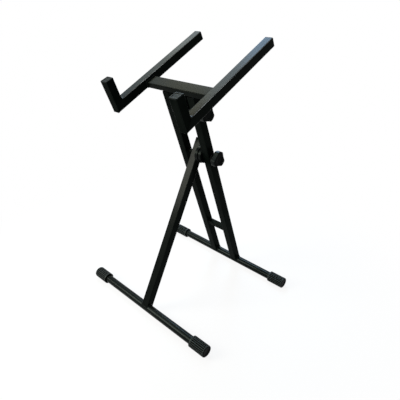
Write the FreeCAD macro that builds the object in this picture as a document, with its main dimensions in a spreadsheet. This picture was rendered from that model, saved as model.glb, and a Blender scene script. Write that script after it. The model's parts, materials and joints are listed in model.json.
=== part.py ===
import FreeCAD, Part
import math
import os
import Sketcher
from FreeCAD import Placement, Rotation, Vector

# Driving sizes, in millimetres and degrees
SIZES = {
    # square tube of the uprights, the leg, the arms and the lips
    "tube_size": 30.0,
    "tube_wall": 2.0,
    "tube_corner": 3.0,
    # round base bars and their ribbed end caps
    "bar_diameter": 30.0,
    "bar_wall": 2.0,
    "base_length": 600.0,
    "base_depth": 457.5,
    "cap_wall": 5.9,
    "cap_length": 65.0,
    "cap_floor": 6.0,
    "cap_clearance": 0.1,
    "cap_round": 5.0,
    "flute_count": 20,
    "flute_diameter": 4.4,
    "flute_depth": 1.2,
    "flute_collar": 7.0,
    "flute_nose": 11.0,
    # uprights and leg, measured along their axes from the base bars
    "upright_reach": 560.0,
    "upright_spacing": 110.0,
    "leg_reach": 597.0,
    "leg_overrun": 47.0,
    "tilt_rise": 176.0,
    "upright_overrun": 53.0,
    "foot_start": 6.0,
    "foot_gap": 0.1,
    # rung between the uprights
    "rung_size": 20.0,
    "rung_wall": 1.5,
    "rung_corner": 2.0,
    "rung_rise": 188.0,
    # platform that carries the mixer
    "platform_angle": 25.6,
    "arm_spacing": 302.0,
    "arm_length": 435.0,
    "lip_length": 107.0,
    "lip_angle": 85.0,
    "mitre_gap": 0.5,
    "crossbar_depth": 40.0,
    "crossbar_height": 20.0,
    "crossbar_wall": 2.0,
    "crossbar_corner": 2.5,
    "crossbar_setback": 157.5,
    "tilt_setback": 145.5,
    "swing_clearance": 2.0,
    # bolts, washers and sleeves of the two pivots
    "bolt_diameter": 10.0,
    "bolt_fit": 0.075,
    "bolt_slack": 0.2,
    "bolt_end_gap": 2.0,
    "head_corners": 18.4,
    "head_height": 6.4,
    "washer_diameter": 24.0,
    "washer_thickness": 2.0,
    "sleeve_wall": 1.9,
    "sleeve_slack": 0.05,
    # discs and ears that grip when a knob is tightened
    "leg_disc_diameter": 62.0,
    "upright_disc_diameter": 56.0,
    "disc_round": 1.5,
    "disc_gap": 0.2,
    "turning_slack": 0.5,
    "tilt_disc_diameter": 44.0,
    "tilt_disc_thickness": 4.0,
    "ear_thickness": 5.0,
    "ear_radius": 22.0,
    # plugs in the open tube ends
    "plug_flange": 3.0,
    "plug_stem": 14.0,
    "plug_slack": 0.15,
    "plug_round": 1.0,
    "recess_margin": 5.0,
    "recess_depth": 1.2,
    # clamp knobs and their threaded inserts
    "knob_diameter": 56.0,
    "knob_grip": 19.0,
    "knob_lobes": 3,
    "scallop_diameter": 160.0,
    "scallop_depth": 6.5,
    "lobe_round": 8.0,
    "knob_round": 2.5,
    "hub_length": 13.0,
    "hub_base_diameter": 25.0,
    "hub_top_diameter": 30.0,
    "insert_wall": 2.9,
    "insert_length": 24.0,
    "insert_slack": 0.05,
    "pivot_knob_turn": 108.0,
    "tilt_knob_turn": 110.0,
}

ALONG_X = Vector(1, 0, 0)
ALONG_Y = Vector(0, 1, 0)
SIDES = (("left", -1), ("right", 1))
TOLERANCE = 1e-6

# Sizes that follow from the driving ones, as expressions on the sheet
HALF_TUBE = "Sizes.tube_size / 2"
MITRE = "Sizes.tube_size / 2 / tan(Sizes.lip_angle * 1 deg / 2)"
MITRE_START = "Sizes.mitre_gap / 2 / sin(Sizes.lip_angle * 1 deg / 2)"
CAP_DIAMETER = "(Sizes.bar_diameter + 2 * Sizes.cap_clearance + 2 * Sizes.cap_wall)"
BOLT_BORE = "Sizes.bolt_diameter + 2 * Sizes.bolt_fit"
BOLT_HOLE = "Sizes.bolt_diameter + 2 * Sizes.bolt_slack"
TURNING_BORE = "Sizes.bolt_diameter + 2 * Sizes.turning_slack"
SLEEVE_DIAMETER = f"{BOLT_BORE} + 2 * Sizes.sleeve_wall"
INSERT_DIAMETER = f"{BOLT_BORE} + 2 * Sizes.insert_wall"
INNER_FACE = "(Sizes.upright_spacing - Sizes.tube_size) / 2"
LEG_ROOM = f"({INNER_FACE} - {HALF_TUBE} - Sizes.disc_gap)"
LOCKING_DISC = f"{LEG_ROOM} / 2"
EAR_INNER_FACE = f"({INNER_FACE} - Sizes.tilt_disc_thickness - Sizes.disc_gap - Sizes.ear_thickness)"
BOLT_REACH = "Sizes.upright_spacing + Sizes.tube_size + 2 * Sizes.washer_thickness"
BOLT_LENGTH = f"{BOLT_REACH} + Sizes.insert_length - Sizes.bolt_end_gap"

doc = FreeCAD.newDocument("MixerStand")


# Sheet of driving sizes

def fill_sheet():
    sheet = doc.addObject("Spreadsheet::Sheet", "Sizes")
    for row, (alias, value) in enumerate(SIZES.items(), start=1):
        sheet.set(f"A{row}", alias)
        sheet.set(f"B{row}", str(value))
        sheet.setAlias(f"B{row}", alias)
    doc.recompute()


# Sketch and feature helpers

def new_body(label):
    body = doc.addObject("PartDesign::Body", label)
    body.Label = label
    return body


def origin_feature(body, role):
    return next(feature for feature in body.Origin.OriginFeatures if feature.Role == role)


def sketch_on(body, role, offset=None):
    """A sketch on one of the body's own planes, moved along the plane's normal by an expression."""
    sketch = body.newObject("Sketcher::SketchObject", f"{body.Label}_sketch")
    sketch.AttachmentSupport = [(origin_feature(body, role), "")]
    sketch.MapMode = "FlatFace"
    if offset:
        sketch.setExpression("AttachmentOffset.Base.z", offset)
    return sketch


def bind_constraint(sketch, constraint, name, expression):
    index = sketch.addConstraint(constraint)
    sketch.renameConstraint(index, name)
    sketch.setExpression(f"Constraints.{name}", expression)


def pin_point(sketch, geometry, point, across, up):
    """Ties a sketch point to two expressions, measured from the sketch origin."""
    for kind, expression in (("DistanceX", across), ("DistanceY", up)):
        constraint = Sketcher.Constraint(kind, -1, 1, geometry, point, 1.0)
        bind_constraint(sketch, constraint, f"{kind}_{geometry}_{point}", expression)


def draw_outline(sketch, corners):
    count = len(corners)
    turn = 2 * math.pi / count
    points = [Vector(math.cos(i * turn), math.sin(i * turn), 0) for i in range(count)]
    for i in range(count):
        sketch.addGeometry(Part.LineSegment(points[i], points[(i + 1) % count]))
    for i in range(count):
        sketch.addConstraint(Sketcher.Constraint("Coincident", i, 2, (i + 1) % count, 1))
    for i, (across, up) in enumerate(corners):
        pin_point(sketch, i, 1, across, up)


def draw_rectangle(sketch, width, height):
    """A rectangle centred on the sketch origin."""
    left, low = f"-({width}) / 2", f"-({height}) / 2"
    right, high = f"({width}) / 2", f"({height}) / 2"
    draw_outline(sketch, [(left, low), (right, low), (right, high), (left, high)])


def draw_circle(sketch, diameter, across="0", up="0"):
    index = sketch.addGeometry(Part.Circle(Vector(0, 0, 0), Vector(0, 0, 1), 10))
    pin_point(sketch, index, 3, across, up)
    bind_constraint(sketch, Sketcher.Constraint("Diameter", index, 20.0), f"diameter_{index}", diameter)


def pad(body, sketch, length, side_type="One side", reverse=False):
    feature = body.newObject("PartDesign::Pad", f"{body.Label}_pad")
    feature.Profile = sketch
    feature.SideType = side_type
    feature.Reversed = reverse
    feature.setExpression("Length", length)
    doc.recompute()
    return feature


def cut(body, sketch, length=None):
    """A pocket along the sketch normal, or right through both ways where no length is given."""
    before = body.Shape.Volume
    feature = body.newObject("PartDesign::Pocket", f"{body.Label}_pocket")
    feature.Profile = sketch
    if length:
        feature.Reversed = True
        feature.setExpression("Length", length)
    else:
        feature.Type = "ThroughAll"
        feature.SideType = "Symmetric"
    doc.recompute()
    if feature.Shape.Volume >= before:
        raise ValueError(f"{feature.Label} cuts nothing")
    return feature


def primitive(body, kind, offset="0", **sizes):
    """An additive primitive along the body's X axis."""
    feature = body.newObject(f"PartDesign::{kind}", f"{body.Label}_{kind}")
    feature.AttachmentSupport = [(origin_feature(body, "YZ_Plane"), "")]
    feature.MapMode = "FlatFace"
    feature.setExpression("AttachmentOffset.Base.z", offset)
    for name, expression in sizes.items():
        feature.setExpression(name, expression)
    doc.recompute()
    return feature


def repeat_about_x(body, feature, count):
    pattern = body.newObject("PartDesign::PolarPattern", f"{body.Label}_pattern")
    pattern.Originals = [feature]
    pattern.Axis = (origin_feature(body, "X_Axis"), [""])
    pattern.Angle = 360
    pattern.setExpression("Occurrences", count)
    body.Tip = pattern
    doc.recompute()
    return pattern


def round_edges(body, wanted, radius):
    """Rounds the edges of the body so far for which wanted(edge) is true."""
    base = body.Tip
    edges = enumerate(base.Shape.Edges, start=1)
    feature = body.newObject("PartDesign::Fillet", f"{body.Label}_fillet")
    feature.Base = (base, [f"Edge{number}" for number, edge in edges if wanted(edge)])
    feature.setExpression("Radius", radius)
    doc.recompute()
    return feature


def parallel_to(axis):
    """Straight edges along one axis."""
    def wanted(edge):
        return isinstance(edge.Curve, Part.Line) and edge.Curve.Direction.cross(axis).Length < TOLERANCE
    return wanted


def outer_rim(diameter):
    """Circles of one diameter."""
    def wanted(edge):
        return isinstance(edge.Curve, Part.Circle) and abs(edge.Curve.Radius - diameter / 2) < TOLERANCE
    return wanted


def place(body, x, point, direction=0.0):
    """Sets a body at x and a (y, z) point, turned about X so that its own Y axis has that direction."""
    body.Placement = Placement(Vector(x, *point), Rotation(ALONG_X, direction))


# Kinds of sub-part, each along its own X or Y axis

def square_tube(label, end, start="0", slant="0"):
    """Square tube along Y. Slant moves the top of its start forwards and the bottom back."""
    body = new_body(label)
    profile = sketch_on(body, "YZ_Plane")
    draw_outline(profile, [
        (f"{start} - ({slant})", f"-{HALF_TUBE}"),
        (end, f"-{HALF_TUBE}"),
        (end, HALF_TUBE),
        (f"{start} + ({slant})", HALF_TUBE),
    ])
    pad(body, profile, "Sizes.tube_size", side_type="Symmetric")
    round_edges(body, parallel_to(ALONG_Y), "Sizes.tube_corner")
    bore = sketch_on(body, "XZ_Plane")
    inside = "Sizes.tube_size - 2 * Sizes.tube_wall"
    draw_rectangle(bore, inside, inside)
    cut(body, bore)
    return body


def cope_foot(body):
    """Cuts the start of a square tube to sit on the round base bar at the tube's origin."""
    bar = sketch_on(body, "YZ_Plane")
    draw_circle(bar, "Sizes.bar_diameter + 2 * Sizes.foot_gap")
    cut(body, bar)


def drill(body, diameter, along):
    """Drills across a square tube at a distance along it."""
    hole = sketch_on(body, "YZ_Plane")
    draw_circle(hole, diameter, across=along)
    cut(body, hole)


def cross_tube(label, name, depth, height, length):
    """Rectangular tube along X, whose wall and corner sizes start with a name."""
    body = new_body(label)
    outside = sketch_on(body, "YZ_Plane")
    draw_rectangle(outside, depth, height)
    pad(body, outside, length, side_type="Symmetric")
    round_edges(body, parallel_to(ALONG_X), f"Sizes.{name}_corner")
    inside = sketch_on(body, "YZ_Plane")
    walls = f"2 * Sizes.{name}_wall"
    draw_rectangle(inside, f"{depth} - {walls}", f"{height} - {walls}")
    cut(body, inside)
    return body


def ring(label, outer, bore, length, side_type="One side"):
    """Round tube, sleeve, disc or washer along X."""
    body = new_body(label)
    section = sketch_on(body, "YZ_Plane")
    draw_circle(section, outer)
    draw_circle(section, bore)
    pad(body, section, length, side_type=side_type)
    return body


def gripping_disc(label, name, bore, length):
    """Disc along X with rounded rims, whose diameter starts with a name."""
    body = ring(label, f"Sizes.{name}_diameter", bore, length)
    round_edges(body, outer_rim(SIZES[f"{name}_diameter"]), "Sizes.disc_round")
    return body


def end_cap(label):
    """Ribbed cup along X, open at its start, with a rounded end."""
    body = new_body(label)
    outside = sketch_on(body, "YZ_Plane")
    draw_circle(outside, CAP_DIAMETER)
    pad(body, outside, "Sizes.cap_length")
    end = SIZES["cap_length"] - TOLERANCE
    round_edges(body, lambda edge: edge.BoundBox.XMin > end, "Sizes.cap_round")
    socket = sketch_on(body, "YZ_Plane")
    draw_circle(socket, "Sizes.bar_diameter + 2 * Sizes.cap_clearance")
    cut(body, socket, "Sizes.cap_length - Sizes.cap_floor")
    # the lowest line of the cap is a rib between two flutes, so that the cap stands on it
    reach = f"(({CAP_DIAMETER} + Sizes.flute_diameter) / 2 - Sizes.flute_depth)"
    half_step = "180 deg / Sizes.flute_count"
    groove = sketch_on(body, "YZ_Plane", offset="Sizes.flute_collar")
    draw_circle(groove, "Sizes.flute_diameter", f"{reach} * sin({half_step})", f"-{reach} * cos({half_step})")
    flute = cut(body, groove, "Sizes.cap_length - Sizes.flute_collar - Sizes.flute_nose")
    repeat_about_x(body, flute, "Sizes.flute_count")
    return body


def tube_plug(label):
    """Plug along Y: a flange with a shallow recess, and a stem that goes into a square tube."""
    body = new_body(label)
    rim = sketch_on(body, "XZ_Plane")
    draw_rectangle(rim, "Sizes.tube_size", "Sizes.tube_size")
    pad(body, rim, "Sizes.plug_flange", reverse=True)
    round_edges(body, parallel_to(ALONG_Y), "Sizes.tube_corner")
    top = SIZES["plug_flange"] - TOLERANCE
    round_edges(body, lambda edge: edge.BoundBox.YMin > top, "Sizes.plug_round")
    stem = sketch_on(body, "XZ_Plane")
    inside = "Sizes.tube_size - 2 * Sizes.tube_wall - 2 * Sizes.plug_slack"
    draw_rectangle(stem, inside, inside)
    pad(body, stem, "Sizes.plug_stem")
    recess = sketch_on(body, "XZ_Plane", offset="-Sizes.plug_flange")
    hollow = "Sizes.tube_size - 2 * Sizes.recess_margin"
    draw_rectangle(recess, hollow, hollow)
    cut(body, recess, "Sizes.recess_depth")
    return body


def pivot_bolt(label, length):
    """Hexagon bolt along X, with its origin under the head."""
    body = new_body(label)
    primitive(body, "AdditivePrism", "-Sizes.head_height",
              Circumradius="Sizes.head_corners / 2", Height="Sizes.head_height")
    primitive(body, "AdditiveCylinder", Radius="Sizes.bolt_diameter / 2", Height=length)
    return body


def clamp_knob(label):
    """Lobed knob along X, with a tapered hub at its start and a socket for its insert."""
    body = new_body(label)
    grip = sketch_on(body, "YZ_Plane", offset="Sizes.hub_length")
    draw_circle(grip, "Sizes.knob_diameter")
    pad(body, grip, "Sizes.knob_grip")
    hollow = sketch_on(body, "YZ_Plane", offset="Sizes.hub_length")
    reach = "(Sizes.knob_diameter + Sizes.scallop_diameter) / 2 - Sizes.scallop_depth"
    draw_circle(hollow, "Sizes.scallop_diameter", up=f"-({reach})")
    scallop = cut(body, hollow, "Sizes.knob_grip")
    repeat_about_x(body, scallop, "Sizes.knob_lobes")
    round_edges(body, parallel_to(ALONG_X), "Sizes.lobe_round")
    low = SIZES["hub_length"] + TOLERANCE
    high = SIZES["hub_length"] + SIZES["knob_grip"] - TOLERANCE
    round_edges(body, lambda edge: edge.BoundBox.XMin > high or edge.BoundBox.XMax < low, "Sizes.knob_round")
    primitive(body, "AdditiveCone", Radius1="Sizes.hub_base_diameter / 2",
              Radius2="Sizes.hub_top_diameter / 2", Height="Sizes.hub_length")
    socket = sketch_on(body, "YZ_Plane")
    draw_circle(socket, f"{INSERT_DIAMETER} + 2 * Sizes.insert_slack")
    cut(body, socket, "Sizes.insert_length")
    return body


def tilt_ear(label):
    """Plate along X, with its origin at the tilt pivot, that tapers from the crossbar to a round end."""
    body = new_body(label)
    front = "Sizes.crossbar_setback - Sizes.crossbar_depth / 2 - Sizes.tilt_setback"
    rear = "Sizes.crossbar_setback + Sizes.crossbar_depth / 2 - Sizes.tilt_setback"
    swing = "sqrt((Sizes.upright_overrun + Sizes.plug_flange) ^ 2 + (Sizes.tube_size / 2) ^ 2)"
    top = f"{swing} + Sizes.swing_clearance"
    radius = SIZES["ear_radius"]
    plate = sketch_on(body, "YZ_Plane")
    front_corner, rear_corner = Vector(-radius / 2, 2 * radius, 0), Vector(radius, 2 * radius, 0)
    front_foot, rear_foot = Vector(-radius, 0, 0), Vector(radius, 0, 0)
    round_end = Part.Circle(Vector(0, 0, 0), Vector(0, 0, 1), radius)
    plate.addGeometry(Part.LineSegment(rear_corner, front_corner))
    plate.addGeometry(Part.LineSegment(front_corner, front_foot))
    plate.addGeometry(Part.ArcOfCircle(round_end, math.pi, 2 * math.pi))
    plate.addGeometry(Part.LineSegment(rear_foot, rear_corner))
    for joined in ((0, 2, 1, 1), (3, 2, 0, 1)):
        plate.addConstraint(Sketcher.Constraint("Coincident", *joined))
    for smooth in ((1, 2, 2, 1), (2, 2, 3, 1)):
        plate.addConstraint(Sketcher.Constraint("Tangent", *smooth))
    pin_point(plate, 0, 1, rear, top)
    pin_point(plate, 0, 2, front, top)
    plate.addConstraint(Sketcher.Constraint("Coincident", 2, 3, -1, 1))
    bind_constraint(plate, Sketcher.Constraint("Radius", 2, radius), "round_end", "Sizes.ear_radius")
    pad(body, plate, "Sizes.ear_thickness")
    hole = sketch_on(body, "YZ_Plane")
    draw_circle(hole, TURNING_BORE)
    cut(body, hole)
    return body


# Places worked out from the driving sizes, as (y, z) points and directions from +Y towards +Z

def travel(point, direction, distance):
    """The point at a distance from another, in a direction given in degrees."""
    turn = math.radians(direction)
    return (point[0] + distance * math.cos(turn), point[1] + distance * math.sin(turn))


half_tube = SIZES["tube_size"] / 2
bar_height = SIZES["bar_diameter"] / 2 + SIZES["cap_clearance"] + SIZES["cap_wall"]
rear_bar_at = (SIZES["base_depth"] / 2, bar_height)
front_bar_at = (-SIZES["base_depth"] / 2, bar_height)

# the two base bars and the main pivot are the corners of a triangle of known sides
rear_corner_cosine = (
    SIZES["upright_reach"] ** 2 + SIZES["base_depth"] ** 2 - SIZES["leg_reach"] ** 2
) / (2 * SIZES["upright_reach"] * SIZES["base_depth"])
upright_direction = 180 - math.degrees(math.acos(rear_corner_cosine))
pivot_at = travel(rear_bar_at, upright_direction, SIZES["upright_reach"])
leg_direction = math.degrees(math.atan2(pivot_at[1] - bar_height, pivot_at[0] - front_bar_at[0]))
tilt_at = travel(pivot_at, upright_direction, SIZES["tilt_rise"])
upright_top = travel(tilt_at, upright_direction, SIZES["upright_overrun"])
leg_top = travel(pivot_at, leg_direction, SIZES["leg_overrun"])

# the arms' undersides clear the upright tops at every tilt
swing_radius = math.hypot(SIZES["upright_overrun"] + SIZES["plug_flange"], half_tube)
tilt_drop = swing_radius + SIZES["swing_clearance"]
arm_direction = SIZES["platform_angle"]
lip_direction = arm_direction + SIZES["lip_angle"]
mitre = half_tube / math.tan(math.radians(SIZES["lip_angle"] / 2))


def on_platform(along, above):
    """The point at a distance along the arms from their front corner, and above their undersides."""
    below = travel(tilt_at, arm_direction, along - SIZES["tilt_setback"])
    return travel(below, arm_direction + 90, tilt_drop + above)


corner_at = on_platform(mitre, half_tube)
arm_end = travel(corner_at, arm_direction, SIZES["arm_length"] - mitre - SIZES["plug_flange"])
lip_end = travel(corner_at, lip_direction, SIZES["lip_length"] - mitre - SIZES["plug_flange"])

# positions across the stand
upright_x = SIZES["upright_spacing"] / 2
inner_face = upright_x - half_tube
outer_face = upright_x + half_tube
arm_x = SIZES["arm_spacing"] / 2
upright_disc_face = (inner_face + half_tube + SIZES["disc_gap"]) / 2
tilt_disc_face = inner_face - SIZES["tilt_disc_thickness"]
ear_outer_face = tilt_disc_face - SIZES["disc_gap"]
ear_inner_face = ear_outer_face - SIZES["ear_thickness"]
washer_face = outer_face + SIZES["washer_thickness"]


# Groups of sub-parts

def base_bar_with_caps(end, at):
    bore = "Sizes.bar_diameter - 2 * Sizes.bar_wall"
    length = "Sizes.base_length - 2 * Sizes.cap_floor - 2 * Sizes.cap_clearance"
    place(ring(f"{end}_base_bar", "Sizes.bar_diameter", bore, length, side_type="Symmetric"), 0, at)
    cap_start = SIZES["base_length"] / 2 - SIZES["cap_length"]
    for side, sign in SIDES:
        cap = end_cap(f"{end}_{side}_cap")
        facing = Rotation(Vector(0, 0, 1), 0 if sign > 0 else 180)
        cap.Placement = Placement(Vector(sign * cap_start, *at), facing)


def uprights():
    tilt_along = "Sizes.upright_reach + Sizes.tilt_rise"
    top = f"{tilt_along} + Sizes.upright_overrun"
    for side, sign in SIDES:
        upright = square_tube(f"{side}_upright", top, start="Sizes.foot_start")
        cope_foot(upright)
        drill(upright, BOLT_HOLE, "Sizes.upright_reach")
        drill(upright, BOLT_HOLE, tilt_along)
        place(upright, sign * upright_x, rear_bar_at, upright_direction)
        place(tube_plug(f"{side}_upright_plug"), sign * upright_x, upright_top, upright_direction)
    gap = "Sizes.upright_spacing - Sizes.tube_size"
    rung = cross_tube("lower_rung", "rung", "Sizes.rung_size", "Sizes.rung_size", gap)
    rung_at = travel(rear_bar_at, upright_direction, SIZES["rung_rise"])
    place(rung, 0, rung_at, upright_direction)


def front_leg():
    leg = square_tube("front_leg", "Sizes.leg_reach + Sizes.leg_overrun", start="Sizes.foot_start")
    cope_foot(leg)
    drill(leg, f"{SLEEVE_DIAMETER} + 2 * Sizes.sleeve_slack", "Sizes.leg_reach")
    place(leg, 0, front_bar_at, leg_direction)
    place(tube_plug("front_leg_plug"), 0, leg_top, leg_direction)
    sleeve = ring("pivot_sleeve", SLEEVE_DIAMETER, BOLT_BORE, "Sizes.tube_size", side_type="Symmetric")
    place(sleeve, 0, pivot_at)


def beside_the_leg():
    """On the right, a disc that turns with the leg and one fixed to the upright. On the left, a spacer."""
    leg_disc = gripping_disc("leg_disc", "leg_disc", TURNING_BORE, LOCKING_DISC)
    place(leg_disc, half_tube, pivot_at, leg_direction)
    upright_disc = gripping_disc("upright_disc", "upright_disc", BOLT_HOLE, LOCKING_DISC)
    place(upright_disc, upright_disc_face, pivot_at, upright_direction)
    place(ring("left_spacer", SLEEVE_DIAMETER, BOLT_HOLE, LEG_ROOM), -inner_face, pivot_at)


def clamp(name, at):
    """Bolt, washers, knob and insert of one pivot, with the bolt's head on the left."""
    place(pivot_bolt(f"{name}_bolt", BOLT_LENGTH), -washer_face, at, upright_direction)
    for end, start in (("head", -washer_face), ("knob", outer_face)):
        washer = ring(f"{name}_{end}_washer", "Sizes.washer_diameter", BOLT_HOLE, "Sizes.washer_thickness")
        place(washer, start, at)
    place(clamp_knob(f"{name}_knob"), washer_face, at, SIZES[f"{name}_knob_turn"])
    insert = ring(f"{name}_knob_insert", INSERT_DIAMETER, BOLT_BORE, "Sizes.insert_length")
    place(insert, washer_face, at)


def platform():
    """Arms and lips with a welding gap at each mitre, the crossbar, and what turns on the tilt bolt."""
    arm_stop = f"Sizes.arm_length - {MITRE} - Sizes.plug_flange"
    lip_stop = f"Sizes.lip_length - {MITRE} - Sizes.plug_flange"
    for side, sign in SIDES:
        arm = square_tube(f"{side}_arm", arm_stop, start=MITRE_START, slant=MITRE)
        place(arm, sign * arm_x, corner_at, arm_direction)
        place(tube_plug(f"{side}_arm_plug"), sign * arm_x, arm_end, arm_direction)
        lip = square_tube(f"{side}_lip", lip_stop, start=MITRE_START, slant=f"-{MITRE}")
        place(lip, sign * arm_x, corner_at, lip_direction)
        place(tube_plug(f"{side}_lip_plug"), sign * arm_x, lip_end, lip_direction)
        ear = tilt_ear(f"{side}_tilt_ear")
        place(ear, ear_inner_face if sign > 0 else -ear_outer_face, tilt_at, arm_direction)
        disc = gripping_disc(f"{side}_tilt_disc", "tilt_disc", BOLT_HOLE, "Sizes.tilt_disc_thickness")
        place(disc, tilt_disc_face if sign > 0 else -inner_face, tilt_at)
    gap = "Sizes.arm_spacing - Sizes.tube_size"
    crossbar = cross_tube("crossbar", "crossbar", "Sizes.crossbar_depth", "Sizes.crossbar_height", gap)
    place(crossbar, 0, on_platform(SIZES["crossbar_setback"], SIZES["crossbar_height"] / 2), arm_direction)
    sleeve = ring("tilt_sleeve", SLEEVE_DIAMETER, BOLT_BORE, f"2 * {EAR_INNER_FACE}", side_type="Symmetric")
    place(sleeve, 0, tilt_at)


def check_and_write():
    bodies = [item for item in doc.Objects if item.TypeId == "PartDesign::Body"]
    for item in doc.Objects:
        if "Invalid" in item.State or "Error" in item.State:
            raise RuntimeError(f"{item.Label} failed: {item.State}")
    for body in bodies:
        if body.Shape.isNull() or not body.Shape.isValid():
            raise RuntimeError(f"{body.Label} has no valid shape")
    os.makedirs("parts", exist_ok=True)
    for body in bodies:
        body.Shape.exportStep(f"parts/{body.Label}.step")
    print(f"{len(bodies)} parts")
    for name, at in (("main pivot", pivot_at), ("tilt pivot", tilt_at), ("arm corner", on_platform(0, 0))):
        print(f"{name}: y {at[0]:.2f} z {at[1]:.2f}")
    print(f"upright direction {upright_direction:.3f}, leg direction {leg_direction:.3f}")


fill_sheet()
base_bar_with_caps("rear", rear_bar_at)
base_bar_with_caps("front", front_bar_at)
uprights()
front_leg()
beside_the_leg()
platform()
clamp("pivot", pivot_at)
clamp("tilt", tilt_at)
doc.recompute()
check_and_write()
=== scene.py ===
import json
import math

import bpy
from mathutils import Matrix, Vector


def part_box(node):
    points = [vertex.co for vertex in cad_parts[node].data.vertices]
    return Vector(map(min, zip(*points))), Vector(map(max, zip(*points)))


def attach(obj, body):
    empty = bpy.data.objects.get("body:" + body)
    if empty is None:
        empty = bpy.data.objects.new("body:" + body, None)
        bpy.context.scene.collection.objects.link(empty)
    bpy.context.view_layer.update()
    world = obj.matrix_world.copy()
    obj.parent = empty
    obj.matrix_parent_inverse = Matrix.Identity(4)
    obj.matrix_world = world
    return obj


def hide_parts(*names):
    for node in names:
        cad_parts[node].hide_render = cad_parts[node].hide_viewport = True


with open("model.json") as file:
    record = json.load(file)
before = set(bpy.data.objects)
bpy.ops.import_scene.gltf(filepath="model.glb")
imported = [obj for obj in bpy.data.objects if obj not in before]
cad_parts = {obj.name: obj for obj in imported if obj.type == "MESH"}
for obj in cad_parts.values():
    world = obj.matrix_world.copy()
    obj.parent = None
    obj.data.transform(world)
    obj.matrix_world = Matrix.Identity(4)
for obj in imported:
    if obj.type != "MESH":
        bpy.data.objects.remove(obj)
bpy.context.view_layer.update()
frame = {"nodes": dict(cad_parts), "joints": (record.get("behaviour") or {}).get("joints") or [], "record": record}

MM = 0.001
X = Vector((1, 0, 0))


# Where the stand's own lines run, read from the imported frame

def middle(node):
    low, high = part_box(node)
    return (low + high) / 2


def extent(node):
    low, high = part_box(node)
    return high - low


def in_plane(point):
    return Vector((0, point.y, point.z))


class Run:
    """The line of a straight tube, with places along it, across it and to the stand's side."""

    def __init__(self, start, along):
        self.start = in_plane(start)
        self.along = in_plane(along).normalized()
        self.across = X.cross(self.along)

    def at(self, side, along, across=0.0):
        return self.start + X * side + self.along * along + self.across * across

    def span(self, node):
        """How far along the run a node starts and ends."""
        reach = [(vertex.co - self.start).dot(self.along) for vertex in frame["nodes"][node].data.vertices]
        return min(reach), max(reach)


def crossing(first, second):
    """The point where two runs meet."""
    between = second.start - first.start
    return first.start + first.along * (between.dot(second.across) / first.along.dot(second.across))


JOINTS = {joint["name"]: Vector(joint["pos_m"]) for joint in frame["joints"]}
MOUNTS = {mount["name"]: mount for mount in frame["record"]["mounts"]}
PIVOT = JOINTS["leg_fold"]
TILT = JOINTS["platform_tilt"]

TUBE = extent("left_upright").x / 2
BAR = extent("rear_base_bar").z / 2
UPRIGHT_SIDE = middle("right_upright").x
ARM_SIDE = middle("right_arm").x
TUBE_CORNER = 3 * MM

UPRIGHT = Run(middle("rear_base_bar"), PIVOT - middle("rear_base_bar"))
LEG = Run(middle("front_base_bar"), PIVOT - middle("front_base_bar"))
ARM_TOP = Vector(MOUNTS["right_arm_top"]["axis"])
LIP_STOP = Vector(MOUNTS["right_lip_stop"]["axis"])
ARM = Run(Vector(MOUNTS["right_arm_top"]["pos_m"]) - ARM_TOP * TUBE, ARM_TOP.cross(X))
LIP = Run(Vector(MOUNTS["right_lip_stop"]["pos_m"]) - LIP_STOP * TUBE, X.cross(LIP_STOP))
ARM.start = LIP.start = crossing(ARM, LIP)
RUNG = Run(middle("lower_rung"), UPRIGHT.along)
CROSSBAR = Run(middle("crossbar"), ARM.along)


# Finishes

class Tone:
    """A value in a finish's nodes. Arithmetic on it adds Math nodes."""

    def __init__(self, finish, socket):
        self.finish = finish
        self.socket = socket

    def math(self, operation, *values):
        return self.finish.node("ShaderNodeMath", {"operation": operation}, dict(enumerate(values)))

    def __add__(self, other):
        return self.math("ADD", self, other)

    def __radd__(self, other):
        return self.math("ADD", other, self)

    def __sub__(self, other):
        return self.math("SUBTRACT", self, other)

    def __rsub__(self, other):
        return self.math("SUBTRACT", other, self)

    def __mul__(self, other):
        return self.math("MULTIPLY", self, other)

    def __rmul__(self, other):
        return self.math("MULTIPLY", other, self)

    def __abs__(self):
        return self.math("ABSOLUTE", self)


class Finish:
    """A node tree that is being filled: a material's, or the world's."""

    def __init__(self, tree):
        self.tree = tree

    def node(self, kind, settings, sockets, output=0):
        """Adds a node: first its settings, then the values or links of its sockets."""
        node = self.tree.nodes.new(kind)
        for setting, value in settings.items():
            setattr(node, setting, value)
        for socket, value in sockets.items():
            self.join(value, node.inputs[socket])
        return Tone(self, node.outputs[output])

    def join(self, value, socket):
        if isinstance(value, Tone):
            self.tree.links.new(value.socket, socket)
        else:
            socket.default_value = value

    def place(self):
        return self.node("ShaderNodeTexCoord", {}, {}, "Object")

    def noise(self, place, scale, detail):
        return self.node("ShaderNodeTexNoise", {}, {"Vector": place, "Scale": scale, "Detail": detail})

    def stretched(self, place, factors):
        return self.node("ShaderNodeVectorMath", {"operation": "MULTIPLY"}, {0: place, 1: factors})

    def dot(self, vector, direction):
        sockets = {0: vector, 1: direction}
        return self.node("ShaderNodeVectorMath", {"operation": "DOT_PRODUCT"}, sockets, "Value")

    def facing(self, direction):
        """How far the surface of a piece faces a direction of the piece itself."""
        return self.dot(self.node("ShaderNodeTexCoord", {}, {}, "Normal"), direction)

    def lengthwise(self, place, run):
        """Places as distances across, along and up from a run."""
        distances = {0: self.dot(place, X), 1: self.dot(place, run.along), 2: self.dot(place, run.across)}
        return self.node("ShaderNodeCombineXYZ", {}, distances)

    def between(self, value, low, high):
        """0 up to low, 1 from high, and smooth in between."""
        sockets = {"Value": value, "From Min": low, "From Max": high}
        return self.node("ShaderNodeMapRange", {"interpolation_type": "SMOOTHSTEP"}, sockets)

    def blend(self, share, first, second):
        """A colour between two colours."""
        return self.node("ShaderNodeMix", {"data_type": "RGBA"}, {0: share, 6: first, 7: second}, 2)


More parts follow.
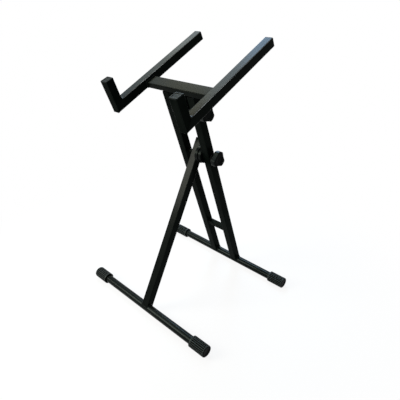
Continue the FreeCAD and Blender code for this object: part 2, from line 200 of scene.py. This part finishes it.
class Surface(Finish):
    """A material with one Principled shader. Constants go straight onto the shader's sockets."""

    def __init__(self, name, **constants):
        self.material = bpy.data.materials.new(name)
        self.material.use_nodes = True
        super().__init__(self.material.node_tree)
        self.shader = next(node for node in self.tree.nodes if node.type == "BSDF_PRINCIPLED")
        for socket, value in constants.items():
            self.shader.inputs[socket.replace("_", " ")].default_value = value

    def shade(self, **values):
        for socket, value in values.items():
            self.join(value, self.shader.inputs[socket.replace("_", " ")])

    def relief(self, height, depth, strength):
        sockets = {"Height": height, "Distance": depth, "Strength": strength}
        self.shade(Normal=self.node("ShaderNodeBump", {}, sockets))


def grey(level, tint=(1, 1, 1)):
    return (*(level * part for part in tint), 1)


COAT_DEEP = 0.0014, 0.0024, 0.0018, 1
COAT_HAZY = 0.0030, 0.0042, 0.0034, 1
COAT_SCUFFED = 0.0065, 0.0075, 0.0070, 1
COAT_RUBBED = 0.016, 0.018, 0.017, 1
COAT_ROUGHNESS = 0.20
# Colour of the painted highlight on the top edges of the arms
EDGE_HIGHLIGHT_STEEL = 0.17, 0.175, 0.175, 1
POLISH_ROUGHNESS = 0.24


def powder_coat(name, gloss, cast, run=None, polish=0.0, edge_highlight=0.0):
    """Satin black powder coat with orange peel, grain and hazy patches. A square tube has rubbed corners.

    Polish is the gloss that use has given the face that looks across the run. The last argument paints a
    highlight on the edges of that face: a lighter, metallic colour that stands in for light on the rounded corner.
    """
    coat = Surface(name, Specular_IOR_Level=gloss, Specular_Tint=(*cast, 1), Coat_Roughness=POLISH_ROUGHNESS)
    place = coat.place()
    haze = coat.noise(place, 17, 4)
    peel = coat.noise(place, 620, 2)
    grain = coat.noise(place, 2600, 1)
    patches = coat.between(haze, 0.35, 0.7)
    colour = coat.blend(patches, COAT_DEEP, COAT_HAZY)
    roughness = COAT_ROUGHNESS + 0.06 * haze + 0.03 * peel
    if run:
        flat = abs(coat.facing(X))
        for direction in (run.along, run.across):
            flat = flat.math("MAXIMUM", flat, abs(coat.facing(direction)))
        rubbed = coat.between(1 - flat, 0.06, 0.28) * coat.between(coat.noise(place, 9, 4), 0.25, 0.75)
        marks = coat.noise(coat.stretched(coat.lengthwise(place, run), (1, 0.05, 1)), 700, 3)
        scuffs = coat.between(marks, 0.60, 0.70) * coat.between(coat.noise(place, 14, 3), 0.45, 0.65)
        colour = coat.blend(0.5 * scuffs, colour, COAT_SCUFFED)
        colour = coat.blend(rubbed, colour, COAT_RUBBED)
        roughness = roughness - 0.05 * rubbed + 0.08 * scuffs
    # Painted highlight: the top face's edges get a lighter, metallic colour for the light on their rounding.
    if edge_highlight:
        edge = coat.between(1 - flat, 0.03, 0.15) * coat.between(coat.facing(run.across), 0.58, 0.76)
        painted_edge_highlight = edge_highlight * edge * (0.6 + 0.4 * coat.between(coat.noise(place, 24, 4), 0.35, 0.6))
        colour = coat.blend(painted_edge_highlight, colour, EDGE_HIGHLIGHT_STEEL)
        coat.shade(Metallic=painted_edge_highlight)
    if polish:
        used = coat.between(coat.facing(run.across), 0.70, 0.92)
        coat.shade(Coat_Weight=polish * used * (0.7 + 0.3 * haze + 0.3 * peel))
    coat.shade(Base_Color=colour, Roughness=roughness)
    coat.relief(0.85 * peel + 0.15 * grain, 0.03 * MM, 0.5)
    return coat.material


def cap_rubber(name, level, gloss, wear):
    """Black rubber of the end caps, with a fine speckle and the drag marks of wear along the cap."""
    rubber = Surface(name, Specular_IOR_Level=gloss, Specular_Tint=(0.80, 1.0, 0.96, 1))
    place = rubber.place()
    speckle = rubber.noise(place, 900, 3)
    drag = rubber.noise(rubber.stretched(place, (0.1, 1, 1)), 420, 2)
    rubbed = wear * rubber.between(drag, 0.40, 0.66)
    tint = 0.85, 1.0, 0.95
    colour = rubber.blend(speckle, grey(0.7 * level, tint), grey(1.3 * level, tint))
    colour = rubber.blend(rubbed, colour, grey(2.6 * level, (0.94, 1, 1)))
    rubber.shade(Base_Color=colour, Roughness=0.38 + 0.14 * speckle - 0.08 * rubbed)
    rubber.relief(0.6 * speckle + 0.4 * drag, 0.06 * MM, 0.6)
    return rubber.material


def moulded_plastic(name, level, roughness, specular):
    """Black moulded plastic with a fine spark-eroded grain and a few faint flow marks."""
    plastic = Surface(name, Specular_IOR_Level=specular, Specular_Tint=(0.80, 1.0, 0.94, 1))
    place = plastic.place()
    grain = plastic.noise(place, 1900, 2)
    flow = plastic.noise(plastic.stretched(place, (1, 0.3, 0.3)), 70, 3)
    scuff = plastic.between(plastic.noise(plastic.stretched(place, (0.25, 1, 1)), 260, 4), 0.62, 0.75)
    tint = 0.85, 1.0, 0.94
    colour = plastic.blend(plastic.between(flow, 0.3, 0.7), grey(level, tint), grey(1.5 * level, tint))
    colour = plastic.blend(0.4 * scuff, colour, grey(2.6 * level, tint))
    plastic.shade(Base_Color=colour, Roughness=roughness + 0.10 * grain + 0.06 * flow + 0.05 * scuff)
    plastic.relief(grain, 0.04 * MM, 0.6)
    return plastic.material


def plated_steel(name, clouded, clear):
    """Zinc plating, with rolling marks and slightly clouded patches."""
    steel = Surface(name, Metallic=1.0)
    place = steel.place()
    cloud = steel.noise(place, 160, 4)
    marks = steel.noise(steel.stretched(place, (0.15, 1, 1)), 1500, 2)
    colour = steel.blend(steel.between(cloud, 0.3, 0.7), clouded, clear)
    steel.shade(Base_Color=colour, Roughness=0.26 + 0.16 * cloud + 0.08 * marks)
    steel.relief(marks, 0.02 * MM, 0.5)
    return steel.material


def turned_brass():
    """Brass of the knobs' inserts, with turning rings."""
    brass = Surface("turned_brass", Metallic=1.0)
    place = brass.place()
    rings = brass.noise(brass.stretched(place, (1, 0.05, 0.05)), 2400, 1)
    colour = brass.blend(rings, (0.60, 0.42, 0.16, 1), (0.74, 0.54, 0.24, 1))
    brass.shade(Base_Color=colour, Roughness=0.24 + 0.2 * rings)
    brass.relief(rings, 0.02 * MM, 0.5)
    return brass.material


GREEN_CAST = 0.80, 1.0, 0.90
COOL_CAST = 0.84, 1.0, 1.0
WARM_CAST = 0.94, 1.0, 0.84
BAR_COAT = powder_coat("powder_coat_bars", 0.06, COOL_CAST)
WELD_COAT = powder_coat("powder_coat_welds", 0.06, COOL_CAST)
CORNER_COAT = powder_coat("powder_coat_corners", 0.09, WARM_CAST)
UPRIGHT_COAT = powder_coat("powder_coat_uprights", 0.008, GREEN_CAST, UPRIGHT)
MATT_COAT = powder_coat("powder_coat_matt", 0.012, GREEN_CAST)
LEG_COAT = powder_coat("powder_coat_leg", 0.012, COOL_CAST, LEG, polish=0.07)
ARM_COAT = powder_coat("powder_coat_arms", 0.012, GREEN_CAST, ARM, polish=0.09, edge_highlight=0.8)
CROSSBAR_COAT = powder_coat("powder_coat_crossbar", 0.015, WARM_CAST, ARM)
LIP_COAT = powder_coat("powder_coat_lips", 0.004, GREEN_CAST, LIP)
RIB_RUBBER = cap_rubber("rubber_ribs", level=0.0060, gloss=0.18, wear=0.8)
# The flute rubber is a darker, less glossy copy of the rib rubber: painted shade in the caps' flutes, bore and
# flat ends.
PAINTED_SHADE_RUBBER = cap_rubber("rubber_flutes_painted_shade", level=0.0016, gloss=0.012, wear=0.2)
PLUG_PLASTIC = moulded_plastic("plug_plastic", level=0.0040, roughness=0.42, specular=0.044)
DISC_PLASTIC = moulded_plastic("disc_plastic", level=0.0020, roughness=0.22, specular=0.05)
KNOB_PLASTIC = moulded_plastic("knob_plastic", level=0.0028, roughness=0.30, specular=0.085)
MATT_PLASTIC = moulded_plastic("matt_plastic", level=0.0028, roughness=0.45, specular=0.016)
STEEL = plated_steel("zinc_plated_steel", (0.42, 0.43, 0.43, 1), (0.56, 0.56, 0.54, 1))
BLACK_STEEL = plated_steel("black_zinc_steel", (0.020, 0.021, 0.021, 1), (0.034, 0.035, 0.034, 1))
BRASS = turned_brass()


# Meshes

SOFT_CREASE, METAL_CREASE, WELD_CREASE = 40, 28, 60
ROUND_COLUMNS = 96


def loft(rings, loop=False):
    """A mesh through rings of points, with a face at each end unless the rings run in a loop."""
    count = len(rings[0])
    faces = []
    for row in range(len(rings) if loop else len(rings) - 1):
        here, there = row * count, (row + 1) % len(rings) * count
        for step in range(count):
            after = (step + 1) % count
            faces.append((here + step, here + after, there + after, there + step))
    if not loop:
        last = (len(rings) - 1) * count
        faces += [tuple(reversed(range(count))), tuple(range(last, last + count))]
    mesh = bpy.data.meshes.new("loft")
    mesh.from_pydata([point for ring in rings for point in ring], [], faces)
    mesh.validate()
    return mesh


def piece(name, mesh, body, finish, replaced=(), crease=SOFT_CREASE, second_finish=None, takes_second_finish=None):
    """Puts a mesh into the stand as a piece of a body, smooth up to an angle. A test picks the faces of its second
    finish.
    """
    mesh.name = name
    mesh.shade_smooth()
    mesh.set_sharp_from_angle(angle=math.radians(crease))
    mesh.materials.append(finish)
    if second_finish:
        mesh.materials.append(second_finish)
        for face in mesh.polygons:
            face.material_index = int(takes_second_finish(face))
    made = bpy.data.objects.new(name, mesh)
    bpy.context.scene.collection.objects.link(made)
    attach(made, body)
    if replaced:
        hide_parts(*replaced)


def turned(profile, centre, outline=None, columns=ROUND_COLUMNS):
    """Rings about a line along X: a profile of (x, radius, share of the outline) rows."""
    rings = []
    for x, radius, share in profile:
        ring = []
        for step in range(columns):
            angle = 2 * math.pi * step / columns
            reach = radius + (share * outline(angle) if share else 0)
            ring.append((x, centre.y + reach * math.cos(angle), centre.z + reach * math.sin(angle)))
        rings.append(ring)
    return rings


def rounded_rectangle(half_wide, half_high, corner, steps=6):
    """Points round a rectangle with rounded corners."""
    points = []
    for turn, (right, up) in enumerate(((1, 1), (-1, 1), (-1, -1), (1, -1))):
        for step in range(steps + 1):
            angle = (turn + step / steps) * math.pi / 2
            points.append((right * (half_wide - corner) + corner * math.cos(angle),
                           up * (half_high - corner) + corner * math.sin(angle)))
    return points


def smooth_step(value, low, high):
    share = min(1, max(0, (value - low) / (high - low)))
    return share * share * (3 - 2 * share)


def rounded_edge(round_radius, steps=5):
    """The (inset, setback) pairs of a quarter round, from the side to the end."""
    return [(round_radius * (1 - math.cos(step / steps * math.pi / 2)),
             round_radius * (1 - math.sin(step / steps * math.pi / 2))) for step in range(steps + 1)]


# End caps of the base bars

FLUTES, FLUTE_COLUMNS = 20, 14
FLUTE_HALF, FLUTE_DEPTH = 2.2 * MM, 1.6 * MM
RIB_CROWN, RIB_END_SHARE = 0.3 * MM, 0.3
CAP_SLACK, CAP_FLOOR, CAP_MOUTH = 0.1 * MM, 6 * MM, 0.8 * MM
CAP_COLLAR, CAP_FADE, CAP_NOSE = 5 * MM, 6 * MM, 3 * MM


def end_cap(name, body, outward):
    """A ribbed rubber cap with a plain collar, flutes with painted shade between rounded ribs, and a rounded nose.
    """
    low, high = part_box(name)
    centre = (low + high) / 2
    radius = (high.z - low.z) / 2
    length = high.x - low.x
    mouth = low.x if outward > 0 else high.x
    pitch = 2 * math.pi / FLUTES

    def groove(angle):
        off = abs((angle + math.pi / 2) % pitch - pitch / 2) * radius
        crown = (off / (pitch * radius / 2) - 1) ** 2 * RIB_CROWN
        return -FLUTE_DEPTH * (1 - smooth_step(off, 0.35 * FLUTE_HALF, 1.1 * FLUTE_HALF)) - crown

    # Painted shade: the flutes, the bore and the flat ends take the darker rubber.
    def takes_second_finish(face):
        across = in_plane(face.center - centre).length
        along = outward * (face.center.x - mouth)
        return across < radius - 0.75 * MM and along < length - 2 * MM or abs(face.normal.x) > 0.7

    bore = BAR + CAP_SLACK
    profile = [(length - CAP_FLOOR, bore, 0), (CAP_MOUTH, bore, 0), (0, bore + CAP_MOUTH, 0)]
    for inset, setback in reversed(rounded_edge(CAP_MOUTH, 4)):
        profile.append((setback, radius - inset, 0))
    for step in range(9):
        profile.append((CAP_COLLAR + 0.25 * MM * step, radius, smooth_step(step, 0, 8)))
    for step in range(11):
        fade = (1 - RIB_END_SHARE) * smooth_step(step, 0, 10)
        profile.append((length - CAP_FADE + 0.3 * MM * step, radius, 1 - fade))
    for inset, setback in rounded_edge(CAP_NOSE, 8):
        profile.append((length - setback, radius - inset, RIB_END_SHARE * setback / CAP_NOSE))
    profile += [(length, 13 * MM, 0), (length - 0.4 * MM, 12 * MM, 0), (length - 0.5 * MM, 3 * MM, 0)]
    placed = [(mouth + outward * along, reach, share) for along, reach, share in profile]
    rings = turned(placed, centre, groove, FLUTES * FLUTE_COLUMNS)
    piece(name + "_ribbed", loft(rings), body, RIB_RUBBER, [name],
          second_finish=PAINTED_SHADE_RUBBER, takes_second_finish=takes_second_finish)


for row, body in (("rear", "rear_frame"), ("front", "leg")):
    end_cap(f"{row}_left_cap", body, -1)
    end_cap(f"{row}_right_cap", body, 1)


# Plugs in the tube ends

PLUG_STEM = TUBE - 2.15 * MM
PLUG_LEAD = 0.8 * MM
PLUG_RIM = TUBE - 5 * MM
PLUG_ROUND = 1.2 * MM


def tube_plug(name, tube, run, side, body, finish=PLUG_PLASTIC):
    """A square plastic plug: a stem inside the tube, a flange with a rounded rim and a sunk face."""
    end = run.span(tube)[1]
    bottom, top = run.span(name)
    rows = [(PLUG_STEM - PLUG_LEAD, 1 * MM, bottom), (PLUG_STEM, 1.5 * MM, bottom + PLUG_LEAD),
            (PLUG_STEM, 1.5 * MM, end), (TUBE, TUBE_CORNER, end)]
    for inset, setback in rounded_edge(PLUG_ROUND):
        rows.append((TUBE - inset, TUBE_CORNER - inset / 2, top - setback))
    for inset, setback in rounded_edge(0.4 * MM, 4):
        rows.append((PLUG_RIM + setback, 2 * MM, top - inset))
    rows += [(PLUG_RIM - 0.2 * MM, 1.8 * MM, top - 0.6 * MM),
             (PLUG_RIM - 0.7 * MM, 1.5 * MM, top - 0.75 * MM),
             (PLUG_RIM / 2, 1 * MM, top - 0.65 * MM),
             (PLUG_RIM / 8, 0.4 * MM, top - 0.6 * MM)]
    rings = [[run.at(side + wide, along, high) for wide, high in rounded_rectangle(half, half, corner)]
             for half, corner, along in rows]
    piece(name + "_moulded", loft(rings), body, finish, [name])


for hand, sign in (("left", -1), ("right", 1)):
    # The upright plugs, under the arms, take the darker and less glossy plastic: painted shade.
    tube_plug(f"{hand}_upright_plug", f"{hand}_upright", UPRIGHT, sign * UPRIGHT_SIDE, "rear_frame",
              MATT_PLASTIC)
    tube_plug(f"{hand}_arm_plug", f"{hand}_arm", ARM, sign * ARM_SIDE, "platform")
    tube_plug(f"{hand}_lip_plug", f"{hand}_lip", LIP, sign * ARM_SIDE, "platform")
tube_plug("front_leg_plug", "front_leg", LEG, 0, "leg")


# Knobs

LOBES = 3
HOLLOW_DEPTH, HOLLOW_RADIUS, HOLLOW_SOFTNESS = 6.5 * MM, 80 * MM, 3 * MM
KNOB_GRIP, KNOB_EDGE = 19 * MM, 2.5 * MM
KNOB_BORE, KNOB_SOCKET = 8 * MM, 24 * MM
KNOB_COLUMNS = 180


def lobed_outline(name, centre):
    """The knob's outline, with lobes where its CAD node has them and shallow hollows that run into them."""
    rim = [in_plane(vertex.co - centre) for vertex in frame["nodes"][name].data.vertices]
    reach = max(point.length for point in rim)
    tips = [LOBES * math.atan2(point.z, point.y) for point in rim if point.length > 0.998 * reach]
    turn = math.atan2(sum(map(math.sin, tips)), sum(map(math.cos, tips))) / LOBES
    away = reach - HOLLOW_DEPTH + HOLLOW_RADIUS

    def outline(angle):
        off = (angle - turn) % (2 * math.pi / LOBES) - math.pi / LOBES
        sideways = min(HOLLOW_RADIUS, abs(away * math.sin(off)))
        hollow = away * math.cos(off) - math.sqrt(HOLLOW_RADIUS ** 2 - sideways ** 2)
        closeness = max(0, HOLLOW_SOFTNESS - abs(hollow - reach)) / HOLLOW_SOFTNESS
        return min(hollow, reach) - closeness ** 2 * HOLLOW_SOFTNESS / 4

    return outline


def star_knob(name, centre):
    """A lobed knob on a tapered hub, with rounded edges and a sunk disc in its end."""
    low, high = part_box(name)
    base, top = low.x, high.x
    grip = top - KNOB_GRIP
    profile = [(base + KNOB_SOCKET, KNOB_BORE, 0), (base, KNOB_BORE, 0),
               (base, 11.9 * MM, 0), (base + 0.6 * MM, 12.5 * MM, 0), (grip - 2 * MM, 14.6 * MM, 0),
               (grip - 0.8 * MM, 15.2 * MM, 0), (grip - 0.1 * MM, 16.2 * MM, 0), (grip, -3 * MM, 1)]
    profile += [(grip + setback, -inset, 1) for inset, setback in reversed(rounded_edge(KNOB_EDGE))]
    profile += [(top - setback, -inset, 1) for inset, setback in rounded_edge(KNOB_EDGE)]
    profile += [(top, 12.6 * MM, 0), (top - 0.3 * MM, 12 * MM, 0), (top - 1.0 * MM, 11.8 * MM, 0),
                (top - 1.2 * MM, 11.2 * MM, 0), (top - 0.7 * MM, 6 * MM, 0), (top - 0.6 * MM, 1 * MM, 0)]
    rings = turned(profile, centre, lobed_outline(name, centre), KNOB_COLUMNS)
    piece(name + "_moulded", loft(rings), name, KNOB_PLASTIC, [name],
          second_finish=MATT_PLASTIC, takes_second_finish=lambda face: face.normal.x > 0.8 or face.normal.x < -0.2)


star_knob("pivot_knob", PIVOT)
star_knob("tilt_knob", TILT)


# Bolts and washers

BOLT_RADIUS, BOLT_FILLET = 5 * MM, 0.4 * MM
HEAD_CHAMFER = 0, 0.2 * MM, 0.45 * MM, 0.75 * MM, 1.1 * MM
WASHER_BORE, WASHER_EDGE = 5.2 * MM, 0.35 * MM


def hex_bolt(name, washer, centre):
    """A bolt with a chamfered hexagon head on the stand's left side."""
    low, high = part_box(name)
    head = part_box(washer)[0].x - low.x
    rim = [in_plane(vertex.co - centre) for vertex in frame["nodes"][name].data.vertices]
    corner = max(rim, key=lambda point: point.length)
    flat = corner.length * math.cos(math.pi / 6)
    turn = math.atan2(corner.z, corner.y)
    rings = []
    for setback in (*HEAD_CHAMFER, head):
        ring = []
        for step in range(ROUND_COLUMNS):
            angle = turn + 2 * math.pi * step / ROUND_COLUMNS
            side = flat / math.cos((angle - turn) % (math.pi / 3) - math.pi / 6)
            reach = min(side, 0.93 * flat + setback * math.sqrt(3))
            y = centre.y + reach * math.cos(angle)
            z = centre.z + reach * math.sin(angle)
            ring.append((low.x + setback, y, z))
        rings.append(ring)
    rings = turned([(low.x + 0.3 * MM, 1 * MM, 0), (low.x, 0.86 * flat, 0)], centre) + rings
    rings += turned([(low.x + head, BOLT_RADIUS + BOLT_FILLET, 0),
                     (low.x + head + BOLT_FILLET, BOLT_RADIUS, 0),
                     (high.x - 1 * MM, BOLT_RADIUS, 0), (high.x, BOLT_RADIUS - 0.9 * MM, 0)], centre)
    piece(name + "_forged", loft(rings), "rear_frame", STEEL, [name], METAL_CREASE)


def flat_washer(name, centre):
    """A washer with softened rims."""
    low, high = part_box(name)
    reach = (high.z - low.z) / 2
    flat = reach - WASHER_EDGE
    rings = turned([(low.x, WASHER_BORE, 0), (low.x, flat, 0), (low.x + WASHER_EDGE, reach, 0),
                    (high.x - WASHER_EDGE, reach, 0), (high.x, flat, 0), (high.x, WASHER_BORE, 0)], centre)
    piece(name + "_pressed", loft(rings, loop=True), "rear_frame", BLACK_STEEL, [name],
          METAL_CREASE)


for joint, centre in (("pivot", PIVOT), ("tilt", TILT)):
    hex_bolt(f"{joint}_bolt", f"{joint}_head_washer", centre)
    flat_washer(f"{joint}_head_washer", centre)
    flat_washer(f"{joint}_knob_washer", centre)


# Weld beads

FOOT_BEAD, RUNG_BEAD, CROSSBAR_BEAD = 2.2 * MM, 1.7 * MM, 1.8 * MM
MITRE_BEAD, EAR_BEAD, EAR_BEAD_HALF = 0.6 * MM, 1.7 * MM, 18 * MM
CORNER_HOLLOW, CORNER_TURNS = 8.5 * MM, 10
RUNG_CORNER, CROSSBAR_CORNER = 2 * MM, 2.5 * MM
RIPPLE, BEAD_SPACING, BEAD_COLUMNS = 1.7 * MM, 0.42 * MM, 10


def evenly(points, spacing, loop):
    """Points at an even spacing along a line through points."""
    stops = points + points[:1] if loop else points
    lengths = [(after - before).length for before, after in zip(stops, stops[1:])]
    count = max(2, round(sum(lengths) / spacing))
    step = sum(lengths) / count
    spaced, run, wanted = [], 0.0, 0.0
    for before, after, length in zip(stops, stops[1:], lengths):
        while wanted <= run + length and len(spaced) < count + (0 if loop else 1):
            spaced.append(before.lerp(after, (wanted - run) / length if length else 0))
            wanted += step
        run += length
    return spaced


def weld(name, body, points, radius, axis, loop=True, finish=WELD_COAT):
    """A rippled bead along a line. The axis is a direction that the line never runs along."""
    path = evenly(points, BEAD_SPACING, loop)
    rings = []
    for index, point in enumerate(path):
        before = path[index - 1] if loop or index else point
        after = path[(index + 1) % len(path)] if loop or index + 1 < len(path) else point
        ahead = (after - before).normalized()
        up = (axis - ahead * axis.dot(ahead)).normalized()
        out = ahead.cross(up)
        phase = (index * BEAD_SPACING / RIPPLE) % 1
        reach = radius * (0.84 + 0.20 * math.sin(math.pi * phase) + 0.05 * math.sin(index * 0.13))
        if not loop:
            ends = min(index, len(path) - 1 - index) * BEAD_SPACING
            reach *= math.sqrt(smooth_step(ends, -0.2 * radius, 0.7 * radius))
        rings.append([point + (up * math.cos(turn) + out * math.sin(turn)) * reach
                      for turn in (2 * math.pi * column / BEAD_COLUMNS for column in range(BEAD_COLUMNS))])
    piece(name, loft(rings, loop), body, finish, crease=WELD_CREASE)


def foot_weld(name, body, run, side, tube):
    """The bead round a square tube's foot, where the foot sits over a round bar."""
    lowest = run.span(tube)[0]

    def on_bar(across, high):
        return run.at(across, max(lowest, math.sqrt(max(0, BAR ** 2 - high ** 2))), high)

    outline = [on_bar(side + wide, high) for wide, high in rounded_rectangle(TUBE, TUBE, TUBE_CORNER, 8)]
    points = [on_bar(point.x, (point - run.start).dot(run.across))
              for point in evenly(outline, 0.8 * MM, True)]
    weld(name, body, points, FOOT_BEAD, run.along)


foot_weld("left_upright_foot_weld", "rear_frame", UPRIGHT, -UPRIGHT_SIDE, "left_upright")
foot_weld("right_upright_foot_weld", "rear_frame", UPRIGHT, UPRIGHT_SIDE, "right_upright")
foot_weld("leg_foot_weld", "leg", LEG, 0, "front_leg")

rung_half = RUNG.span("lower_rung")[1]
crossbar_half = CROSSBAR.span("crossbar")[1], Run(CROSSBAR.start, CROSSBAR.across).span("crossbar")[1]
inner_corner = crossing(Run(ARM.at(0, 0, TUBE), ARM.along), Run(LIP.at(0, 0, -TUBE), LIP.along))
outer_corner = crossing(Run(ARM.at(0, 0, -TUBE), ARM.along), Run(LIP.at(0, 0, TUBE), LIP.along))
mitre = Run((inner_corner + outer_corner) / 2, inner_corner - outer_corner)
mitre_half = (inner_corner - outer_corner).length / 2


def corner_weld(name, side):
    """The hollow weld in the corner between an arm and its lip."""
    half_wide, steps = TUBE - 0.4 * MM, 60
    rings = []
    for step in range(steps + 1):
        wide = half_wide * (2 * step / steps - 1)
        over = max(0, abs(wide) - TUBE + TUBE_CORNER)
        sunk = TUBE_CORNER - math.sqrt(TUBE_CORNER ** 2 - over ** 2) + 0.2 * MM
        radius = CORNER_HOLLOW * (1 + 0.03 * math.sin(2.1 * step) + 0.03 * math.sin(0.37 * step))
        corner = inner_corner + X * (side + wide) - mitre.along * sunk
        centre = corner + mitre.along * (radius / mitre.along.dot(ARM.across))
        ring = [centre + (-ARM.across).slerp(LIP.across, turn / CORNER_TURNS) * radius
                for turn in range(CORNER_TURNS + 1)]
        rings.append(ring + [corner - mitre.along * 1 * MM])
    piece(name, loft(rings), "platform", CORNER_COAT, crease=WELD_CREASE)


for hand, sign in (("left", -1), ("right", 1)):
    around = [RUNG.at(sign * (UPRIGHT_SIDE - TUBE), along, across)
              for along, across in rounded_rectangle(rung_half, rung_half, RUNG_CORNER)]
    weld(f"{hand}_rung_weld", "rear_frame", around, RUNG_BEAD, X)
    around = [CROSSBAR.at(sign * (ARM_SIDE - TUBE), along, across)
              for along, across in rounded_rectangle(*crossbar_half, CROSSBAR_CORNER)]
    weld(f"{hand}_crossbar_weld", "platform", around, CROSSBAR_BEAD, X)
    around = [mitre.at(sign * ARM_SIDE + wide, along)
              for wide, along in rounded_rectangle(TUBE, mitre_half, TUBE_CORNER)]
    weld(f"{hand}_mitre_weld", "platform", around, MITRE_BEAD, mitre.across, finish=MATT_COAT)
    corner_weld(f"{hand}_corner_weld", sign * ARM_SIDE)
    low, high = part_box(f"{hand}_tilt_ear")
    for place, side in (("left", low.x), ("right", high.x)):
        ends = [CROSSBAR.at(side, along, -crossbar_half[1]) for along in (-EAR_BEAD_HALF, EAR_BEAD_HALF)]
        weld(f"{hand}_ear_{place}_weld", "platform", ends, EAR_BEAD, X, loop=False)


# Finishes of the CAD nodes that stay

def dress(finish, *nodes):
    for node in nodes:
        for slot in frame["nodes"][node].material_slots:
            slot.material = finish


dress(BAR_COAT, "rear_base_bar", "front_base_bar")
dress(MATT_COAT, "left_spacer")
dress(UPRIGHT_COAT, "left_upright", "right_upright", "lower_rung")
dress(LEG_COAT, "front_leg")
dress(ARM_COAT, "left_arm", "right_arm", "left_tilt_ear", "right_tilt_ear")
dress(CROSSBAR_COAT, "crossbar")
dress(LIP_COAT, "left_lip", "right_lip")
dress(DISC_PLASTIC, "leg_disc", "upright_disc", "left_tilt_disc", "right_tilt_disc")
dress(STEEL, "pivot_sleeve", "tilt_sleeve")
dress(BRASS, "pivot_knob_insert", "tilt_knob_insert")


# Floor, light and camera

FLOOR_HALF, FLOOR_DROP = 150, 0.2 * MM
SHADOW_SHARE, SHADOW_START, SHADOW_END = 0.12, 0.45, 1.1
WORLD_LIGHT = 0.3


def seen(finish):
    """1 for what the camera, a gloss or a clear piece shows, 0 for the light that falls on a surface."""
    camera, glossy, clear = (finish.node("ShaderNodeLightPath", {}, {}, f"Is {kind} Ray")
                             for kind in ("Camera", "Glossy", "Transmission"))
    return camera.math("MAXIMUM", camera.math("MAXIMUM", camera, glossy), clear)


def studio_floor():
    corners = [(x * FLOOR_HALF, y * FLOOR_HALF, 0) for x, y in ((-1, -1), (1, -1), (1, 1), (-1, 1))]
    mesh = bpy.data.meshes.new("studio_floor")
    mesh.from_pydata(corners, [], [(0, 1, 2, 3)])
    floor = bpy.data.objects.new("studio_floor", mesh)
    floor.location.z = -FLOOR_DROP
    bpy.context.scene.collection.objects.link(floor)
    paper = Surface("white_paper", Roughness=0.9, Specular_IOR_Level=0.0)
    place = paper.place()
    paper.shade(Base_Color=paper.blend(paper.noise(place, 90, 3), grey(0.91), grey(0.95)))
    glow = paper.node("ShaderNodeEmission", {}, {"Color": (1, 1, 1, 1), "Strength": 1.0})
    lit = Tone(paper, paper.shader.outputs[0])
    away = paper.node("ShaderNodeVectorMath", {"operation": "LENGTH"}, {0: place}, "Value")
    white = 1 - SHADOW_SHARE + SHADOW_SHARE * paper.between(away, SHADOW_START, SHADOW_END)
    shown = paper.node("ShaderNodeMixShader", {}, {0: white * seen(paper), 1: lit, 2: glow})
    output = next(node for node in paper.tree.nodes if node.type == "OUTPUT_MATERIAL")
    paper.join(shown, output.inputs["Surface"])
    mesh.materials.append(paper.material)


def studio_world():
    world = bpy.data.worlds.new("studio")
    world.use_nodes = True
    bpy.context.scene.world = world
    sky = Finish(world.node_tree)
    lit, shown = (sky.node("ShaderNodeBackground", {}, {"Color": (1, 1, 1, 1), "Strength": strength})
                  for strength in (WORLD_LIGHT, 1.0))
    mixed = sky.node("ShaderNodeMixShader", {}, {0: seen(sky), 1: lit, 2: shown})
    output = next(node for node in sky.tree.nodes if node.type == "OUTPUT_WORLD")
    sky.join(mixed, output.inputs["Surface"])


def softbox(name, target, direction, distance, wide, high, light, colour):
    """A soft lamp that faces a target from a direction. Light is what reaches a surface that faces it."""
    lamp = bpy.data.lights.new(name, "AREA")
    lamp.shape, lamp.size, lamp.size_y = "RECTANGLE", wide, high
    lamp.energy = light * math.pi * math.pi * distance ** 2
    lamp.color = colour
    stand = bpy.data.objects.new(name, lamp)
    away = Vector(direction).normalized()
    stand.location = Vector(target) + away * distance
    stand.rotation_euler = (-away).to_track_quat("-Z", "Y").to_euler()
    bpy.context.scene.collection.objects.link(stand)


CAMERA_PLACE, CAMERA_TURN = (0.8724, -0.8768, 1.0470), (61.62, 0, 42.93)
SENSOR, FOCAL_LENGTH, FAR_END = 36, 34.73, 1000


def photo_camera():
    lens = bpy.data.cameras.new("camera")
    lens.sensor_width = SENSOR
    lens.lens = FOCAL_LENGTH
    lens.clip_end = FAR_END
    camera = bpy.data.objects.new("camera", lens)
    camera.location = CAMERA_PLACE
    camera.rotation_euler = [math.radians(angle) for angle in CAMERA_TURN]
    bpy.context.scene.collection.objects.link(camera)
    bpy.context.scene.camera = camera


studio_floor()
studio_world()
STAND_MIDDLE, PLATFORM_LEFT, PLATFORM_RIGHT = (0, 0, 0.6), (-0.08, -0.05, 0.77), (0.05, -0.05, 0.77)
softbox("key_softbox", STAND_MIDDLE, (-0.541, 0.349, 0.765), distance=2.24, wide=0.5, high=0.95,
        light=0.265, colour=(0.82, 0.95, 1.0))
softbox("sky_softbox", STAND_MIDDLE, (-0.470, 0.590, 0.656), distance=2.21, wide=0.5, high=1.5,
        light=0.74, colour=(0.47, 0.71, 1.0))
softbox("left_softbox", PLATFORM_LEFT, (-0.773, 0.223, 0.594), distance=1.85, wide=0.7, high=0.45,
        light=0.095, colour=(0.64, 0.85, 1.0))
softbox("warm_softbox", PLATFORM_RIGHT, (-0.702, 0.234, 0.673), distance=2.2, wide=0.6, high=0.4,
        light=0.10, colour=(1.0, 0.93, 0.58))
softbox("front_softbox", (0, 0, 0.45), (-0.536, -0.746, 0.395), distance=2.35, wide=1.1, high=1.0,
        light=0.9, colour=(1.0, 0.98, 0.84))
softbox("upper_softbox", (0.05, 0, 0.56), (-0.60, -0.45, 0.66), distance=2.4, wide=0.7, high=0.7,
        light=0.14, colour=(0.84, 0.93, 1.0))
softbox("overhead_strip", (0.15, 0, 0.8), (0.12, 0.06, 0.98), distance=2.0, wide=0.2, high=1.6,
        light=0.15, colour=(0.96, 1.0, 1.0))
photo_camera()
bpy.context.scene.view_settings.view_transform = "Standard"
